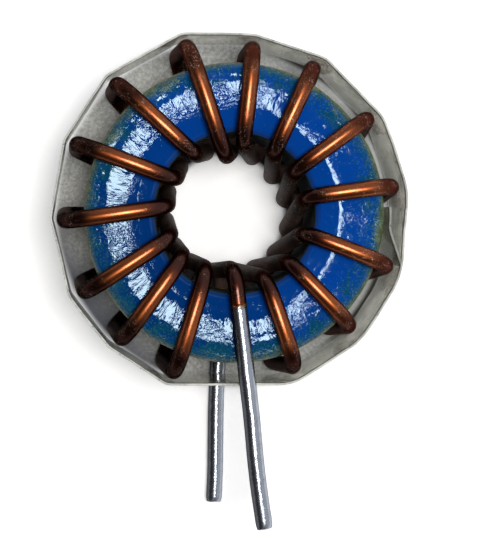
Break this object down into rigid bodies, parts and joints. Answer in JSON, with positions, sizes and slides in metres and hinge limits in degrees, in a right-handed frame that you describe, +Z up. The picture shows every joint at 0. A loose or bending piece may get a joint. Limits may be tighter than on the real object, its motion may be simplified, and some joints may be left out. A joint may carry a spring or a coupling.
{
  "type": "toroidal inductor",
  "caption": "Ring-core power inductor wound with thick enamelled copper wire, with two tinned leads drawn out on one side and a clear film band round the turns.",
  "frame": {"origin": "on the core's axis, at the floor that the coil lies on", "axes": "+Z up along the core's axis, out of the blue face; -Y towards the tips of both leads"},
  "size_m": [0.032, 0.0443, 0.0143],
  "materials": {
    "core_paint": "gloss",
    "enamelled_copper": "gloss",
    "solder": "satin",
    "clear_film": "clear, dusty"
  },
  "bodies": {
    "root": {"core": "core_paint", "winding": "enamelled_copper", "front_lead_tinning": "solder", "rear_lead_tinning": "solder", "clear_band": "clear_film"}
  },
  "joints": []
}
